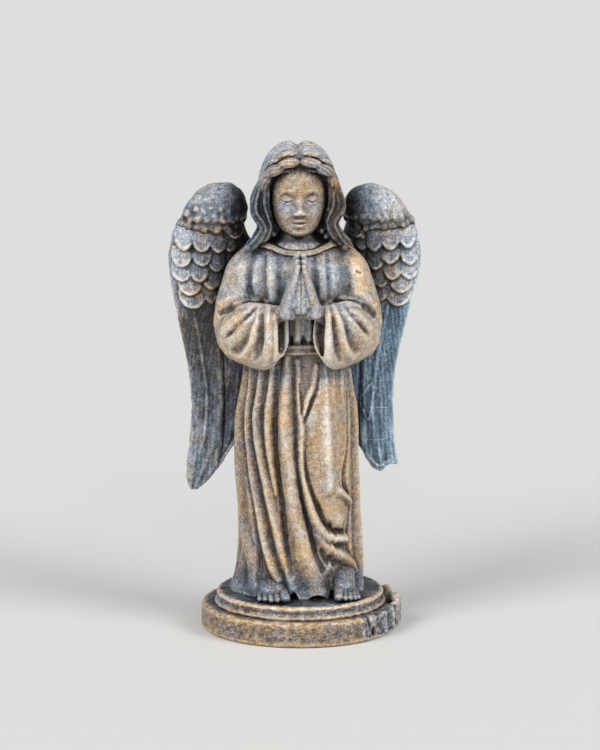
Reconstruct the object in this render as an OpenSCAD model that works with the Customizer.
// Praying angel figurine: resin castings that are pinned and glued together.
// The figure faces -Y and stands on the XY plane. Left and right are the figure's own,
// so its left side is +X. Sizes are in millimetres and angles in degrees.

/* [Base] */
// Diameter of the lower disc
plinth_d = 80; // [76:1:96]
// Height of the lower disc
plinth_h = 10; // [7:0.5:16]
// Diameter of the upper disc at its foot
step_d = 69; // [64:1:73]
// Height of the upper disc
step_h = 5; // [3:0.5:8]
// Width of the bevel round each disc
base_bevel = 1; // [0.5:0.1:1.5]
// Diameter of the felt pad
felt_d = 68; // [50:1:72]
// Thickness of the felt pad
felt_t = 1.5; // [1:0.1:2.5]
// How far the felt stands out below the lower disc
felt_reveal = 0.3; // [0.1:0.1:0.8]

/* [Robe] */
// Sideways place of the figure on its base
figure_x = -1; // [-3:0.5:2]
// Width of the robe at the hem
hem_w = 55; // [50:1:58]
// Depth of the robe at the hem
hem_d = 46; // [40:1:48]
// Width of the robe at the waist
waist_w = 45.5; // [42:0.5:48]
// Depth of the robe at the waist
waist_d = 31; // [28:1:34]
// Height of the skirt, from the base to the belt
skirt_h = 99.5; // [88:0.5:110]
// Depth of the folds in the skirt
fold_depth = 2.8; // [2:0.1:3.4]
// How far the knee pushes the skirt out
knee_out = 4; // [2:0.5:6]
// Height of the belt
belt_h = 4; // [3:0.5:6]
// How far the belt stands out from the waist
belt_t = 1.2; // [0.8:0.1:2]
// Height of the bodice, from the belt to the neck
bodice_h = 39.5; // [37:0.5:44]
// Width of the bodice at the shoulders
shoulder_w = 46; // [42:1:50]
// Height of the collar band
collar_h = 2; // [1.5:0.25:3]
// How far the collar band stands out from the bodice
collar_t = 1; // [0.6:0.1:1.6]

/* [Arms] */
// Radius of each upper arm in its sleeve
arm_r = 9; // [8:0.5:10]
// Reach of each elbow from the middle of the figure
elbow_reach = 25; // [23:0.5:27]
// Height of the bell sleeve at its cuff
cuff_h = 27; // [24:0.5:29]
// Width of the bell sleeve at its cuff
cuff_w = 11; // [9:0.5:13]
// Wall of the cuff
cuff_wall = 1.6; // [1.2:0.1:2.2]
// Length of each hand, from the wrist to the fingertips
hand_l = 26; // [23:0.5:29]
// Depth of each hand, across the palm
hand_w = 13; // [11:0.5:15]
// Thickness of each hand at the heel of the palm
hand_t = 7.6; // [6.5:0.1:8.5]
// Diameter of each wrist
wrist_d = 7.6; // [6:0.2:9]

/* [Feet] */
// Length of each foot
foot_l = 22; // [19:0.5:25]
// Width of each foot
foot_w = 12; // [10:0.5:13]
// Height of each foot at the ankle
foot_h = 10.5; // [9:0.5:12]
// Diameter of a small toe
toe_d = 2.7; // [2.3:0.1:3]

/* [Head] */
// Height of the head, from the chin to the crown
head_h = 33.5; // [31:0.5:36]
// Width of the face
face_w = 23; // [21:0.5:25]
// Depth of the head
head_d = 24.5; // [23:0.5:26]
// Diameter of the neck
neck_d = 16; // [14:0.5:18]
// Length of the neck that shows above the bodice
neck_l = 2.5; // [2:0.5:5]
// Thickness of the hair over the crown
hair_t = 5; // [4:0.5:7]
// Width of the hair at the cheeks
hair_w = 38; // [35:0.5:40]
// Depth of the hair
hair_d = 31; // [30:0.5:33]
// Thickness of the rolled lock along each side of the face
lock_t = 6.4; // [5:0.2:7]

/* [Wings] */
// Height of each wing
wing_h = 126; // [115:1:135]
// Reach of each wing from the middle of the figure
wing_reach = 50.5; // [46:0.5:56]
// Thickness of each wing at its shoulder
wing_t = 13; // [10:0.5:16]
// How far the left wing's tip is broken off
tip_loss = 7; // [4:0.5:12]
// Rows of covert feathers on each wing
covert_rows = 6; // [4:1:7]
// Width of a covert feather
covert_w = 7.2; // [6:0.2:8]
// How far a covert feather stands out
covert_t = 1.5; // [1:0.1:2]
// How far the crest stands out from the wing
crest_t = 0.8; // [0.5:0.1:1.2]

/* [Fixings] */
// Diameter of the steel dowels
dowel_d = 3; // [2:0.5:4]
// Length of each wing dowel
wing_dowel_l = 10; // [8:0.5:11]
// Diameter of the steel rod through the robe
rod_d = 5; // [4:0.5:6]
// Radial clearance of the dowels and the rod
dowel_clearance = 0.05; // [0.02:0.01:0.1]
// Glue gap between castings
glue_gap = 0.15; // [0.1:0.05:0.25]

/* [Hidden] */

resin_gold = [0.60, 0.47, 0.31];
resin_blue = [0.42, 0.47, 0.54];
resin_dark = [0.27, 0.25, 0.23];

// How far places lie from the pieces that carry them
wing_drop = 15.5;
wing_sink = 4.5;
hand_out = 9;
wrist_rise = 12;
elbow_rise = 4;
dowel_drop = 14;
dowel_bite = 3;
rod_reach = 20;
rod_floor = 2;

// Heights that the pieces share
plinth_top = felt_reveal + plinth_h;
floor_z = plinth_top + step_h;
waist_z = floor_z + skirt_h;
belt_top = waist_z + belt_h;
neck_z = belt_top + bodice_h;
chin_z = neck_z + neck_l;
crown_z = chin_z + head_h;
wing_top = crown_z - wing_drop;
wing_low = wing_top - wing_h;

// Places that the pieces share
skirt_sides = 80;
hand_y = -waist_d / 2 - hand_out;
hand_z = belt_top + wrist_rise;
elbow_z = belt_top + elbow_rise;
head_y = -1.5;
wing_y = waist_d / 2 - wing_sink;
wing_dowel_z = neck_z - dowel_drop;
wing_dowel_x = 0.7 * shoulder_w / 2;
wing_dowel_y = wing_y + dowel_bite - wing_dowel_l;
rod_top = belt_top + rod_reach;
rod_low = felt_reveal + felt_t + rod_floor;
neck_dowel_l = 16;
far = 200;

// Smooth curve through [position, value] pairs, where a value is a number or a list
function span(table, x, i = 0) =
    i >= len(table) - 2 || x <= table[i + 1][0] ? i : span(table, x, i + 1);
function slope(table, i) =
    let (a = max(0, i - 1), b = min(len(table) - 1, i + 1))
    (table[b][1] - table[a][1]) / (table[b][0] - table[a][0]);
function curve(table, x) =
    let (
        i = span(table, x),
        w = table[i + 1][0] - table[i][0],
        u = min(1, max(0, (x - table[i][0]) / w))
    )
    (2 * u ^ 3 - 3 * u ^ 2 + 1) * table[i][1] + (u ^ 3 - 2 * u ^ 2 + u) * w * slope(table, i)
    + (3 * u ^ 2 - 2 * u ^ 3) * table[i + 1][1] + (u ^ 3 - u ^ 2) * w * slope(table, i + 1);

function bump(x, middle, width) = exp(-pow((x - middle) / width, 2));
function unit(v) = v / norm(v);
function centre(ring) = [for (k = [0:2]) let (all = [for (p = ring) p[k]]) sum(all) / len(all)];
function sum(list, i = 0) = i >= len(list) ? 0 : list[i] + sum(list, i + 1);

// Solid through rings of equal length, each anticlockwise seen from the next one
module loft(rings) {
    n = len(rings[0]);
    m = len(rings);
    points = concat([for (r = rings) each r], [centre(rings[0]), centre(rings[m - 1])]);
    sides = [
        for (j = [0:m - 2], i = [0:n - 1]) let (k = (i + 1) % n, a = j * n, b = a + n)
            each [[a + i, b + i, a + k], [a + k, b + i, b + k]]
    ];
    low = [for (i = [0:n - 1]) [m * n, i, (i + 1) % n]];
    high = [for (i = [0:n - 1]) [m * n + 1, (m - 1) * n + (i + 1) % n, (m - 1) * n + i]];
    polyhedron(points, concat(sides, low, high));
}

// Upright ring: angle 0 is the front, and 90 is the figure's left
function upright(n, z, a, front, back, y = 0, x = 0) = [
    for (i = [0:n - 1]) let (f = 360 * i / n - 180)
        [x + a * sin(f), y - (cos(f) > 0 ? front : back) * cos(f), z]
];

// Rings along a path of [position, [x, y, z, half width, half height]]
function swept(path, steps, n, up) =
    let (last = path[len(path) - 1][0])
    [for (k = [0:steps])
        let (
            s = last * k / steps,
            p = curve(path, s),
            ahead = curve(path, min(last, s + 0.05)),
            behind = curve(path, max(0, s - 0.05)),
            t = unit([for (j = [0:2]) ahead[j] - behind[j]]),
            u = unit(cross(up, t)),
            v = cross(t, u)
        )
        [for (i = [0:n - 1]) [p[0], p[1], p[2]] + u * p[3] * cos(360 * i / n) + v * p[4] * sin(360 * i / n)]
    ];

// One casting, whose joins and cuts are made together
module casting() {
    resize([0, 0, 0]) children();
}

// Side 1 is the figure's left, and side -1 its right
module on_side(side) {
    mirror([side < 0 ? 1 : 0, 0, 0]) children();
}

module in_figure() {
    translate([figure_x, 0, 0]) children();
}

// Base
module felt_pad() {
    color("dimgray") cylinder(d = felt_d, h = felt_t, $fn = 96);
}

// Broken edge of the lower disc: grooves as [angle, radius, depth] and knots as [angle, reach]
edge_grooves = [
    [37, 1.1, 0.7], [43, 0.8, 0.5], [49, 1.5, 1.3], [56, 0.9, 0.6], [63, 1.2, 0.8], [78, 1.5, 1.8]
];
edge_knots = [[70, 0.6], [88, 2.2]];

module base_plinth() {
    r = plinth_d / 2;
    seat = felt_t - felt_reveal;
    color(resin_gold) difference() {
        union() {
            translate([0, 0, felt_reveal]) rotate_extrude($fn = 128) polygon([
                [0, 0], [r - base_bevel, 0], [r, base_bevel], [r, plinth_h - base_bevel],
                [r - base_bevel, plinth_h], [0, plinth_h]
            ]);
            for (k = edge_knots) rotate(k[0]) translate([0, -r + 2.5, felt_reveal + plinth_h / 2])
                hull() for (s = [-1, 1])
                    translate([1.2 * s, -k[1], s * (plinth_h / 2 - 2.6)]) sphere(d = 5, $fn = 20);
        }
        translate([0, 0, felt_reveal - far]) cylinder(d = felt_d + 2 * glue_gap, h = far + seat, $fn = 96);
        for (g = edge_grooves) rotate(g[0]) translate([0, -r - g[1] + g[2], -1])
            cylinder(r = g[1], h = plinth_h + 3, $fn = 20);
        translate([figure_x, 0, rod_low]) cylinder(d = rod_d + 2 * dowel_clearance, h = far, $fn = 32);
    }
}

module base_step() {
    r = step_d / 2;
    color(resin_dark) difference() {
        translate([0, 0, plinth_top]) rotate_extrude($fn = 128) polygon([
            [0, 0], [r, 0], [r, 0.25 * step_h], [r - base_bevel, step_h - base_bevel],
            [r - 2 * base_bevel, step_h], [0, step_h]
        ]);
        translate([figure_x, 0, plinth_top - 1]) cylinder(d = rod_d + 2 * dowel_clearance, h = far, $fn = 32);
    }
}

module core_rod() {
    color("silver") in_figure() translate([0, 0, rod_low])
        cylinder(d = rod_d, h = rod_top - rod_low, $fn = 32);
}

// Skirt folds: each by height share from the hem (0) to the belt (1), as angle, width in degrees and
// height as a share of fold_depth
skirt_folds = [
    // Over the right leg, from the side to the middle
    [[0.05, [-48, 9, 0.6]], [0.16, [-59, 9, 0.8]], [0.32, [-78, 8, 0.75]], [0.7, [-80, 8, 0.7]],
        [1, [-80, 7, 0.4]]],
    [[0, [-78, 9, 0.8]], [0.1, [-79, 8, 0.6]], [0.25, [-79, 7, 0]]],
    [[0.03, [-18, 4, 0.3]], [0.16, [-32, 5, 0.8]], [0.3, [-42, 5, 0.9]], [0.6, [-54, 5, 0.75]],
        [1, [-64, 5, 0.4]]],
    [[0, [-8, 5, 0.4]], [0.24, [-22, 5, 0.85]], [0.48, [-35, 5, 0.8]], [0.72, [-46, 5, 0.8]],
        [1, [-46, 4, 0.4]]],
    [[0.42, [-24, 3, 0]], [0.6, [-30, 4, 0.6]], [0.75, [-32, 4.5, 0.8]], [1, [-31, 4, 0.4]]],
    [[0, [18, 9, 0.9]], [0.16, [6, 9, 1.1]], [0.32, [-3, 8, 1.2]], [0.5, [-10, 7, 1.2]],
        [0.75, [-15, 7, 1.1]], [1, [-14, 5, 0.6]]],
    // Round the left knee and over the left foot
    [[0.17, [60, 9, 0]], [0.21, [50, 10, 1]], [0.24, [38, 9, 1.1]], [0.32, [15, 7, 1]],
        [0.42, [7, 5, 0.9]], [0.58, [1, 4, 0.8]], [0.8, [-1, 4, 0.5]], [1, [-2, 3, 0.3]]],
    [[0.03, [78, 8, 0]], [0.1, [67, 8, 0.9]], [0.16, [45, 8, 1]], [0.22, [26, 7, 0.8]], [0.27, [16, 5, 0]]],
    [[0.74, [1, 3, 0]], [0.8, [6, 4, 0.7]], [0.88, [14, 4, 0.7]], [1, [21, 3, 0.3]]],
    [[0.34, [50, 5, 0]], [0.4, [50, 5, 1.1]], [0.47, [42, 5, 0]]],
    [[0.4, [28, 5, 0.7]], [0.55, [26, 6, 1]], [0.7, [25, 6, 0.9]], [0.84, [27, 5, 0.4]], [0.9, [27, 5, 0]]],
    // Along the left side, and behind
    [[0, [73, 7, 0.9]], [0.2, [75, 6, 1.1]], [0.55, [79, 5.5, 0.9]], [0.8, [79, 5.5, 0.7]],
        [1, [80, 5, 0.4]]],
    for (angle = [103:26:259]) [[0, [angle, 8, 0.8]], [0.5, [angle, 8, 0.7]], [1, [angle, 8, 0.4]]]
];
// Creases between the folds, in the same form, as depths
skirt_creases = [
    [[0.1, [24, 4, 0]], [0.18, [15, 4, 0.6]], [0.27, [10, 4, 0.6]], [0.4, [3, 3, 0.4]], [0.55, [-2, 3, 0]]],
    [[0.22, [60, 8, 0]], [0.25, [50, 8, 0.5]], [0.28, [36, 8, 0.6]], [0.32, [24, 6, 0.6]],
        [0.4, [14, 4, 0.5]], [0.55, [5, 3, 0.3]], [0.65, [4, 3, 0]]],
    [[0.37, [57, 5, 0]], [0.46, [54, 6, 0.9]], [0.54, [55, 6, 0.9]], [0.64, [60, 5, 0.4]],
        [0.9, [62, 4, 0]]]
];
// Thigh and knee by height share: angle, width in degrees, and height as a share of knee_out
skirt_knee = [
    [0.18, [38, 14, 0]], [0.26, [38, 14, 0.25]], [0.32, [38, 15, 0.7]], [0.4, [33, 17, 0.8]],
    [0.6, [27, 20, 0.8]], [0.75, [28, 21, 0.65]], [0.88, [28, 21, 0.3]], [1, [28, 21, 0.05]]
];
// Outline of the skirt by height share: width and depth as shares from the waist (0) to the hem (1)
skirt_flare = [
    [0, [1.12, 1.03]], [0.05, [0.97, 0.87]], [0.15, [0.76, 0.71]], [0.3, [0.64, 0.6]], [0.55, [0.68, 0.52]],
    [0.75, [0.63, 0.44]], [0.87, [0.3, 0.3]], [1, [0.05, 0.08]]
];
// Where folds run into each other the highest wins, and the softer the lower this power is
fold_blend = 4;
// How much of a fold rides on the knee
knee_fold = 0.3;

function apart(a, b) = let (d = (a - b) % 360) d > 180 ? d - 360 : d < -180 ? d + 360 : d;
function soft_max(list) = pow(sum([for (v = list) pow(max(0, v), fold_blend)]), 1 / fold_blend);
function fold_rise(fold, angle, t) = let (f = curve(fold, t)) f[2] * bump(apart(angle, f[0]), 0, f[1]);
function skirt_relief(angle, t) =
    let (
        folds = fold_depth * soft_max([for (fold = skirt_folds) fold_rise(fold, angle, t)]),
        knee = knee_out * fold_rise(skirt_knee, angle, t)
    )
    soft_max([folds, knee]) + knee_fold * min(folds, knee)
    - fold_depth * soft_max([for (crease = skirt_creases) fold_rise(crease, angle, t)]);
function skirt_ring(t, grow) = [
    for (i = [0:skirt_sides - 1])
        let (
            angle = 360 * i / skirt_sides - 180,
            flare = curve(skirt_flare, t),
            out = skirt_relief(angle, t) - fold_depth + grow,
            a = (waist_w + (hem_w - waist_w) * flare[0]) / 2 + out,
            b = (waist_d + (hem_d - waist_d) * flare[1]) / 2 + out
        )
        [a * sin(angle), -b * cos(angle), floor_z + t * skirt_h + (t == 1 ? grow : 0)]
];

module skirt_form(grow = 0) {
    steps = [0, 0.04, 0.09, 0.14, each [0.18:0.04:0.42], each [0.5:0.08:0.82], 0.91, 1];
    loft([for (t = steps) skirt_ring(t, grow)]);
}

module robe_skirt() {
    color(resin_gold) in_figure() difference() {
        casting() difference() {
            skirt_form();
            for (side = [-1, 1]) foot_form(side, glue_gap);
        }
        translate([0, 0, floor_z - 1]) cylinder(d = rod_d + 2 * dowel_clearance, h = far, $fn = 32);
    }
}

// Bodice outline by height share: half width, front and back as shares of the shoulder and the waist
bodice_outline = [
    [0, [0.84, 0.90, 0.88]], [0.25, [0.88, 0.98, 0.92]], [0.5, [0.95, 1.05, 0.95]], [0.72, [1.0, 1.0, 0.92]],
    [0.86, [0.94, 0.84, 0.80]], [0.95, [0.72, 0.68, 0.68]], [1, [0.44, 0.56, 0.58]]
];

pleat_depth = 0.7;
pleats = 12;
bodice_sides = 48;

function bodice_point(angle, t, grow) =
    let (
        o = curve(bodice_outline, t),
        out = grow + pleat_depth * max(0, sin(180 * t)) * cos(pleats * angle),
        a = o[0] * shoulder_w / 2 + out,
        b = o[cos(angle) > 0 ? 1 : 2] * waist_d / 2 + out
    )
    [a * sin(angle), -b * cos(angle), waist_z + t * (belt_h + bodice_h)];
function bodice_ring(t, grow) =
    [for (i = [0:bodice_sides - 1]) bodice_point(360 * i / bodice_sides - 180, t, grow)];

module bodice_form(grow = 0) {
    loft([for (t = [0, 0.09, each [0.2:0.12:0.8], 0.86, 0.91, 0.95, 1]) bodice_ring(t, grow)]);
}

module robe_bodice() {
    color(resin_gold) in_figure() difference() {
        casting() bodice_form();
        translate([0, 0, waist_z - 1])
            cylinder(d = rod_d + 2 * dowel_clearance, h = rod_top + glue_gap - waist_z + 1, $fn = 32);
        neck_dowel_form(dowel_clearance);
        for (side = [-1, 1]) wing_dowel_form(side, dowel_clearance);
    }
}

module waist_belt() {
    sides = 32;
    edge = 0.5;
    sunk = 0.8;
    o = curve(bodice_outline, 0.05);
    rings = [for (t = [0, 0.2, 0.8, 1])
        let (out = belt_t + sunk - (t > 0 && t < 1 ? 0 : edge))
        upright(sides, waist_z + t * belt_h, o[0] * shoulder_w / 2 + out,
            o[1] * waist_d / 2 + out, o[2] * waist_d / 2 + out)
    ];
    color(resin_dark) in_figure() casting() difference() {
        loft(rings);
        bodice_form(glue_gap);
        for (side = [-1, 1]) {
            sleeve_form(side, 2 * glue_gap);
            wing_form(side, 2 * glue_gap);
        }
    }
}

// Collar: a band round the neckline, whose place on the bodice is a height share that dips at the front
collar_place = 0.975;
collar_dip = 0.03;
collar_sides = 28;

function collar_ring(drop, out) = [
    for (i = [0:collar_sides - 1])
        let (angle = 360 * i / collar_sides - 180, front = max(0, cos(angle)))
        bodice_point(angle, collar_place - collar_dip * front ^ 2 - drop, out) + [0, 0, max(0, out)]
];

module neck_collar() {
    band = collar_h / (belt_h + bodice_h);
    color(resin_gold) in_figure() casting() difference() {
        loft([collar_ring(band, -1), collar_ring(band, 0.8 * collar_t), collar_ring(0.8 * band, collar_t),
            collar_ring(0.2 * band, collar_t), collar_ring(0, 0.5 * collar_t), collar_ring(0, -1)]);
        bodice_form(glue_gap);
        head_form(glue_gap);
        hair_form(glue_gap);
        for (side = [-1, 1]) {
            hand_form(side, glue_gap);
            lock_form(side, glue_gap);
            sleeve_form(side, glue_gap);
        }
    }
}

// Sleeves: the upper arm, and the bell of the forearm that hangs from it
function upper_arm(grow) = [
    [0, [0.62 * shoulder_w / 2, 1, neck_z - 6, 0.65 * arm_r + grow, 0.55 * arm_r + grow]],
    [1, [0.84 * shoulder_w / 2, 1, neck_z - 10, arm_r + grow, 0.95 * arm_r + grow]],
    [2, [elbow_reach - 2.5, 0, neck_z - 20, arm_r + grow, arm_r + grow]],
    [3, [elbow_reach - 1, -2.5, elbow_z + 4, 1.15 * arm_r + grow, 1.05 * arm_r + grow]],
    [4, [elbow_reach - 1.5, -4.5, elbow_z - 4, 0.95 * arm_r + grow, 0.9 * arm_r + grow]],
    [5, [elbow_reach - 3, -6, elbow_z - 10.5, 0.45 * arm_r + grow, 0.45 * arm_r + grow]]
];
function bell(grow) = [
    [0, [elbow_reach + 5, -3, elbow_z + 1, 0.45 * arm_r + grow, 0.55 * arm_r + grow]],
    [1, [elbow_reach + 1, -7, elbow_z, 0.9 * arm_r + grow, 1.2 * arm_r + grow]],
    [2, [elbow_reach - 8, -15, elbow_z, 0.9 * arm_r + grow, cuff_h / 2 + grow]],
    [3, [elbow_reach - 14, hand_y + 4, elbow_z, cuff_w / 2 + 1 + grow, cuff_h / 2 + grow]],
    [4, [elbow_reach - 17.5, hand_y + 2, elbow_z, cuff_w / 2 + grow, cuff_h / 2 + grow]]
];
cuff_hollow = [
    [0, [elbow_reach - 10, hand_y + 7, elbow_z, cuff_w / 2 - 1.5 * cuff_wall, cuff_h / 2 - 4 * cuff_wall]],
    [1, [elbow_reach - 14.5, hand_y + 4, elbow_z, cuff_w / 2 - cuff_wall, cuff_h / 2 - 1.6 * cuff_wall]],
    [2, [elbow_reach - 22, hand_y + 0.3, elbow_z, cuff_w / 2 - cuff_wall, cuff_h / 2 - cuff_wall]]
];

module sleeve_form(side, grow = 0) {
    on_side(side) {
        loft(swept(upper_arm(grow), 8, 20, [0, -1, 0]));
        difference() {
            loft(swept(bell(grow), 8, 22, [0, 0, 1]));
            loft(swept(cuff_hollow, 3, 16, [0, 0, 1]));
        }
    }
}

module sleeve(side) {
    color(resin_gold) in_figure() casting() difference() {
        sleeve_form(side);
        bodice_form(glue_gap);
        skirt_form(glue_gap);
        wrist_form(side, glue_gap);
        hand_form(side, glue_gap);
        wing_form(side, glue_gap);
        wing_dowel_form(side, glue_gap);
    }
}

// Hands: palms together, fingers up, with the wrists running into the cuffs
// Hand outline by height share: thickness and depth as shares of hand_t and hand_w
hand_outline = [
    [0, [0.68, 0.62]], [0.15, [1, 0.92]], [0.35, [0.87, 1]], [0.6, [0.58, 0.9]], [0.82, [0.4, 0.66]],
    [0.95, [0.25, 0.44]], [1, [0.12, 0.25]]
];
hand_lean = 1.5;
palm_root = 2;

function wrist_path(grow) = [
    for (s = [[0, 2.5, 1, 3], [1, 7.5, 2, -1.5], [2, 13, 5, -5]])
        [s[0], [s[1], hand_y + s[2], hand_z + s[3], 0.46 * wrist_d + grow, 0.55 * wrist_d + grow]]
];

module wrist_form(side, grow = 0) {
    on_side(side) loft(swept(wrist_path(grow), 5, 16, [0, 0, 1]));
}

module hand_form(side, grow = 0) {
    sides = 24;
    on_side(side) loft([for (t = [0:0.1:1])
        let (o = curve(hand_outline, t))
        [for (i = [0:sides - 1])
            let (angle = 360 * i / sides - 180, s = sin(angle))
            [((s > 0 ? o[0] * hand_t : palm_root) + grow) * s,
                hand_y - hand_lean * t - (o[1] * hand_w / 2 + grow) * cos(angle), hand_z + t * hand_l]
        ]
    ]);
}

module hand(side) {
    color(resin_blue) in_figure() casting() difference() {
        union() {
            hand_form(side);
            wrist_form(side);
        }
        translate([side > 0 ? -far + glue_gap / 2 : -glue_gap / 2, -far / 2, 0]) cube([far, far, 2 * far]);
        bodice_form(glue_gap);
    }
}

// Feet: place across the base, how far the toes reach out, and how far they turn out
foot_places = [[-9.5, 25.5, 4], [19.5, 24.5, -10]];
// Foot outline from the heel to the ball: half width and height as shares of foot_w / 2 and foot_h
foot_outline = [
    [0, [0.55, 0.76]], [0.3, [0.7, 1]], [0.55, [0.85, 0.86]], [0.8, [1, 0.57]], [1, [0.92, 0.4]]
];
sole_sink = 2;

module foot_form(side, grow = 0) {
    sides = 16;
    place = foot_places[side > 0 ? 1 : 0];
    translate([place[0], -place[1], floor_z]) rotate(place[2]) {
        loft([for (t = [0:0.1:1])
            let (o = curve(foot_outline, t))
            [for (i = [0:sides - 1])
                let (angle = 360 * i / sides)
                [(o[0] * foot_w / 2 + grow) * cos(angle), foot_l - t * (foot_l - toe_d) + (t == 0 ? grow : 0),
                    ((sin(angle) > 0 ? o[1] * foot_h : sole_sink) + grow) * sin(angle)]
            ]
        ]);
        for (k = [0:4]) let (r = toe_d / 2 * (k == (side > 0 ? 0 : 4) ? 1.35 : 1))
            translate([(k - 2) * 0.2 * foot_w, toe_d + 0.13 * toe_d * abs(k - 2), 1.1 * r]) rotate([12, 0, 0])
                scale([1, 2.3, 1.1]) sphere(r = r + grow, $fn = 10);
    }
}

module foot(side) {
    color(resin_blue) in_figure() casting() intersection() {
        foot_form(side);
        translate([-far / 2, -far / 2, floor_z]) cube(far);
    }
}

// Head outline by height share: half width, front and back as shares of face_w / 2 and head_d / 2
head_outline = [
    [0, [0.28, 0.60, 0.08]], [0.06, [0.52, 0.84, 0.33]], [0.14, [0.72, 0.93, 0.49]],
    [0.22, [0.85, 0.91, 0.61]], [0.3, [0.93, 0.93, 0.73]], [0.5, [1.0, 0.95, 0.98]],
    [0.62, [1.0, 1.02, 1.06]], [0.76, [0.96, 0.99, 1.06]], [0.88, [0.78, 0.82, 0.86]],
    [0.96, [0.48, 0.51, 0.52]], [1, [0.12, 0.13, 0.13]]
];
head_steps = [0, 0.03, 0.07, 0.12, 0.17, 0.21, 0.235, 0.26, 0.29, 0.32, 0.36, 0.4, 0.44, 0.48, 0.505, 0.53,
    0.57, 0.63, 0.74, 0.86, 0.94, 1];

// Relief of a plain face by height share and angle: nose, lips, chin, eye hollows and lids
function face_relief(t, angle) =
    2.3 * bump(angle, 0, 7) * bump(t, 0.41, 0.045) + 1.3 * bump(angle, 0, 6) * bump(t, 0.5, 0.07)
    + 0.9 * bump(angle, 0, 15) * (bump(t, 0.29, 0.022) + bump(t, 0.235, 0.022))
    + 0.7 * bump(angle, 0, 16) * bump(t, 0.1, 0.05)
    - 1.5 * bump(abs(angle), 25, 11) * bump(t, 0.53, 0.05)
    + 1.0 * bump(abs(angle), 26, 9) * bump(t, 0.505, 0.03);

// The points crowd towards the face, where the relief is
function head_ring(t, grow) =
    let (sides = 38, crowding = 26, o = curve(head_outline, t))
    [for (i = [0:sides - 1])
        let (
            even = 360 * i / sides - 180,
            angle = even - crowding * sin(even),
            front = cos(angle) > 0,
            out = grow + (front ? face_relief(t, angle) : 0)
        )
        [(o[0] * face_w / 2 + grow) * sin(angle), head_y - (o[front ? 1 : 2] * head_d / 2 + out) * cos(angle),
            chin_z + t * head_h + (t == 0 ? -grow : t == 1 ? grow : 0)]
    ];

module head_form(grow = 0) {
    loft([for (t = head_steps) head_ring(t, grow)]);
    translate([0, 0, neck_z])
        cylinder(r1 = neck_d / 2 + grow, r2 = 0.43 * neck_d + grow, h = neck_l + 0.3 * head_h, $fn = 36);
}

module head() {
    color(resin_gold) in_figure() difference() {
        casting() head_form();
        neck_dowel_form(dowel_clearance);
    }
}

module neck_dowel_form(grow) {
    translate([0, 0, neck_z - neck_dowel_l / 2 - (grow > 0 ? glue_gap : 0)])
        cylinder(r = dowel_d / 2 + grow, h = neck_dowel_l + (grow > 0 ? 2 * glue_gap : 0), $fn = 32);
}

module neck_dowel() {
    color("silver") in_figure() neck_dowel_form(0);
}

// Hair outline by height share from the shoulders to the top: half width, front and back as shares of
// the width and depth, and how far back its middle lies
hair_low = neck_z - 3;
hair_high = crown_z + hair_t;
hair_outline = [
    [0, [0.80, 0.39, 0.45, 9]], [0.12, [0.98, 0.52, 0.58, 7.5]], [0.25, [0.96, 0.71, 0.71, 5]],
    [0.42, [1.0, 0.87, 0.9, 3]], [0.58, [0.98, 0.97, 1.03, 1]], [0.72, [0.89, 1.0, 1.03, 0.3]],
    [0.83, [0.77, 0.88, 0.9, 0.5]], [0.92, [0.58, 0.65, 0.71, 0.5]], [0.98, [0.32, 0.35, 0.39, 0.5]],
    [1, [0.1, 0.1, 0.1, 0.5]]
];
hair_wave = 0.75;
hair_waves = 9;
parting_depth = 1.6;

function hair_ring(t, grow) =
    let (sides = 32, o = curve(hair_outline, t))
    [for (i = [0:sides - 1])
        let (
            angle = 360 * i / sides - 180,
            half = o[0] * hair_w / 2,
            sway = 50 * sin(576 * t),
            out = grow + hair_wave * sin(90 * min(1, 4 - 4 * t)) * cos(hair_waves * angle + sway),
            parting = parting_depth * bump(half * sin(angle), 0, 1.8) * bump(t, 1, 0.2)
        )
        [(half + out) * sin(angle), o[3] - (o[cos(angle) > 0 ? 1 : 2] * hair_d / 2 + out) * cos(angle),
            hair_low + t * (hair_high - hair_low) - parting]
    ];

module hair_form(grow = 0) {
    face_z = chin_z + 0.38 * head_h;
    face_y = head_y - 4.5;
    opening = face_w + 1.5 - 2 * grow;
    difference() {
        loft([for (t = [0, 0.07, each [0.15:0.1:0.85], 0.91, 0.96, 1]) hair_ring(t, grow)]);
        translate([0, face_y, face_z]) rotate([90, 0, 0]) linear_extrude(far)
            resize([opening, 0.94 * head_h]) circle(d = opening, $fn = 40);
        translate([-opening / 2, face_y - far, neck_z - far]) cube([opening, far, face_z - neck_z + far]);
    }
}

module hair_cap() {
    color(resin_blue) in_figure() casting() difference() {
        hair_form();
        head_form(glue_gap);
        bodice_form(glue_gap);
        for (side = [-1, 1]) {
            lock_form(side, glue_gap);
            sleeve_form(side, glue_gap);
            wing_form(side, crest_t + glue_gap);
        }
    }
}

// Locks: a roll along the forehead that falls past the cheek and curls out on the shoulder
// Stations as side place in shares of half the hair width, height share of the head, depth before the
// head's middle, and thickness share
lock_stations = [
    [0.074, 0.93, 12.4, 0.78], [0.326, 0.9, 12.8, 1], [0.574, 0.8, 10.6, 1], [0.758, 0.6, 8, 0.88],
    [0.895, 0.41, 6.5, 0.82], [0.853, 0.2, 7, 0.75], [0.974, 0.03, 8, 0.74], [1.116, -0.06, 8.5, 0.45]
];

function lock_path(grow) = [
    for (i = [0:len(lock_stations) - 1])
        let (s = lock_stations[i], r = s[3] * lock_t / 2 + grow)
        [i, [s[0] * hair_w / 2, head_y - s[2], chin_z + s[1] * head_h, r, r]]
];

module lock_form(side, grow = 0) {
    on_side(side) loft(swept(lock_path(grow), 20, 10, [0, -1, 0.2]));
}

module lock(side) {
    color(resin_blue) in_figure() casting() difference() {
        lock_form(side);
        head_form(glue_gap);
        bodice_form(glue_gap);
        sleeve_form(side, glue_gap);
        wing_form(side, glue_gap);
    }
}

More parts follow.
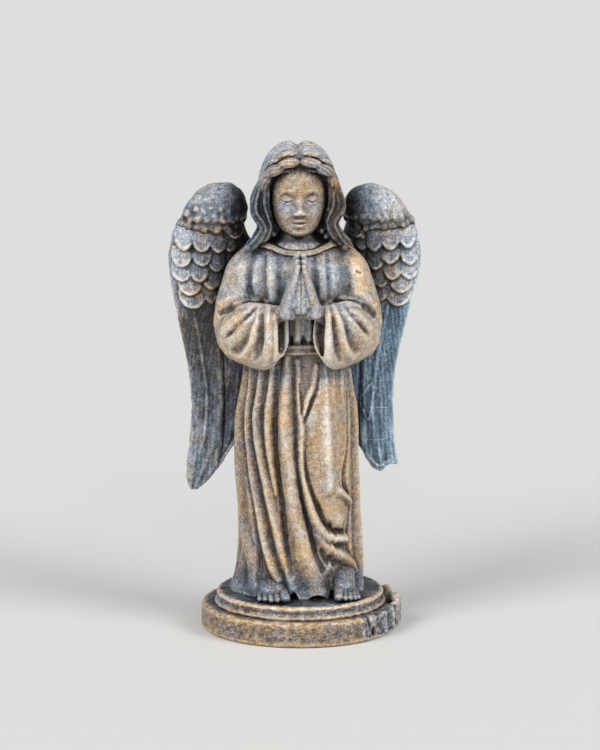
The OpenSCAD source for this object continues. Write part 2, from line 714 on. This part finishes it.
// Wing outline by height share from the tip to the top: inner and outer edge as shares of the reach,
// half thickness as a share of wing_t, and depth behind the waist
wing_outline = [
    [0, [0.79, 0.86, 0.06, 2]], [0.055, [0.67, 0.885, 0.11, 1.5]], [0.14, [0.52, 0.865, 0.13, 1]],
    [0.24, [0.41, 0.845, 0.15, 0.5]], [0.33, [0.34, 0.845, 0.16, 0.3]], [0.42, [0.28, 0.87, 0.17, 0.3]],
    [0.5, [0.24, 0.91, 0.19, 0.5]], [0.58, [0.20, 0.95, 0.23, 1.2]], [0.66, [0.19, 0.985, 0.28, 1.8]],
    [0.76, [0.25, 1.02, 0.38, 2.6]], [0.83, [0.36, 1.0, 0.44, 2.8]], [0.88, [0.41, 0.955, 0.48, 2.8]],
    [0.93, [0.44, 0.90, 0.46, 2.6]], [0.97, [0.48, 0.82, 0.36, 2.6]], [0.99, [0.53, 0.75, 0.24, 2.6]],
    [1, [0.6, 0.68, 0.1, 2.6]]
];
// Flight feathers: long blades below the coverts
blades = 3;
blade_top = 0.55;
rib_depth = 0.5;
wing_steps = [0, 0.02, 0.055, 0.1, each [0.15:0.07:0.85], 0.89, 0.93, 0.965, 0.985, 1];

module wing_form(side, grow = 0) {
    sides = 24;
    on_side(side) loft([for (t = wing_steps)
        let (
            o = curve(wing_outline, t),
            mid = (o[0] + o[1]) / 2 * wing_reach,
            half = (o[1] - o[0]) / 2 * wing_reach
        )
        [for (i = [0:sides - 1])
            let (
                angle = 360 * i / sides - 180,
                ribs = rib_depth * cos(180 * blades * sin(angle)) * max(0, 1 - t / blade_top)
            )
            [mid + (half + grow) * sin(angle), wing_y + o[3] - (o[2] * wing_t + ribs + grow) * cos(angle),
                wing_low + t * wing_h + (t == 0 ? -grow : t == 1 ? grow : 0)]
        ]
    ]);
}

module wing(side) {
    color(resin_blue) in_figure() difference() {
        casting() difference() {
            wing_form(side);
            above_share(crest_low, glue_gap);
            bodice_form(glue_gap);
            skirt_form(glue_gap);
            if (side > 0) broken_tip();
        }
        wing_dowel_form(side, dowel_clearance);
    }
}

// Rough end of the left wing: places along it as shares of the reach, and heights as shares of tip_loss
tip_edge = [
    [0.3, 2.2], [0.5, 1.7], [0.56, 1.85], [0.64, 1.3], [0.72, 1.1], [0.78, 1.25], [0.82, 1.05], [1.1, 0.9]
];

module broken_tip() {
    edge = [for (p = tip_edge) [p[0] * wing_reach, wing_low + p[1] * tip_loss]];
    rotate([90, 0, 0]) linear_extrude(far, center = true) polygon(concat([[0, -far]], edge, [[far, -far]]));
}

// Covert feathers: rows of rounded scales that overlap down the front of the wing
covert_high = 0.85;
covert_low = 0.645;

module coverts_form(side) {
    drop = (covert_high - covert_low) / (covert_rows - 1);
    on_side(side) for (row = [0:covert_rows - 1]) {
        t = covert_high - row * drop;
        o = curve(wing_outline, t);
        low = max(o[0] + 0.1, 0.4 + 0.05 * row) * wing_reach;
        high = (o[1] - 0.01) * wing_reach;
        count = max(2, round((high - low) / covert_w));
        for (k = [0:count - 1]) {
            x = low + (high - low) * (k + (row % 2 == 0 ? 0.6 : 0.4)) / count;
            share = (2 * x / wing_reach - o[0] - o[1]) / (o[1] - o[0]);
            y = wing_y + o[3] - o[2] * wing_t * sqrt(max(0.1, 1 - share ^ 2));
            translate([x, y - 0.3 * covert_t, wing_low + t * wing_h]) rotate([-12, 0, 26 * share])
                scale([0.56 * covert_w, covert_t, 1.2 * drop * wing_h])
                    rotate([90, 0, 0]) sphere(r = 1, $fn = 8);
        }
    }
}

module coverts(side) {
    color(resin_blue) in_figure() casting() difference() {
        coverts_form(side);
        above_share(crest_rows[len(crest_rows) - 1][0]);
        wing_form(side, glue_gap);
        crest_form(side, glue_gap);
        sleeve_form(side, glue_gap);
        bodice_form(glue_gap);
        lock_form(side, glue_gap);
        hair_form(glue_gap);
    }
}

// Crest: the cap over the shoulder of the wing, edged with rows of small rounded feathers.
// Rows as height share, count and radius
crest_low = 0.895;
crest_rows = [[0.9, 7, 2.1], [0.876, 6, 1.9]];
bead_spread = 0.82;

module above_share(share, grow = 0) {
    translate([-far / 2, -far / 2, wing_low + share * wing_h - grow]) cube(far);
}

module crest_form(side, grow = 0) {
    intersection() {
        wing_form(side, crest_t + grow);
        above_share(crest_low, grow);
    }
    on_side(side) for (i = [0:len(crest_rows) - 1]) {
        row = crest_rows[i];
        o = curve(wing_outline, row[0]);
        for (k = [0:row[1] - 1]) {
            share = bead_spread * (2 * (k + (i == 0 ? 0.5 : 0.3)) / row[1] - 1);
            x = ((o[0] + o[1]) / 2 + share * (o[1] - o[0]) / 2) * wing_reach;
            y = wing_y + o[3] - o[2] * wing_t * sqrt(1 - share ^ 2);
            translate([x, y - 0.4, wing_low + row[0] * wing_h]) sphere(r = row[2] + grow, $fn = 6);
        }
    }
}

module wing_crest(side) {
    color(resin_blue) in_figure() casting() difference() {
        crest_form(side);
        difference() {
            wing_form(side, glue_gap);
            above_share(crest_low);
        }
        lock_form(side, glue_gap);
        hair_form(glue_gap);
    }
}

// Dowels that carry the wings on the back of the bodice
module wing_dowel_form(side, grow) {
    extra = grow > 0 ? glue_gap : 0;
    translate([side * wing_dowel_x, wing_dowel_y - extra, wing_dowel_z]) rotate([-90, 0, 0])
        cylinder(r = dowel_d / 2 + grow, h = wing_dowel_l + 2 * extra, $fn = 32);
}

module wing_dowels() {
    color("silver") in_figure() for (side = [-1, 1]) wing_dowel_form(side, 0);
}

felt_pad();
base_plinth();
base_step();
core_rod();
robe_skirt();
waist_belt();
robe_bodice();
neck_collar();
sleeve(-1);  // right_sleeve
sleeve(1);  // left_sleeve
hand(-1);  // right_hand
hand(1);  // left_hand
foot(-1);  // right_foot
foot(1);  // left_foot
head();
neck_dowel();
hair_cap();
lock(-1);  // right_lock
lock(1);  // left_lock
wing(-1);  // right_wing
wing(1);  // left_wing
coverts(-1);  // right_coverts
coverts(1);  // left_coverts
wing_crest(-1);  // right_wing_crest
wing_crest(1);  // left_wing_crest
wing_dowels();
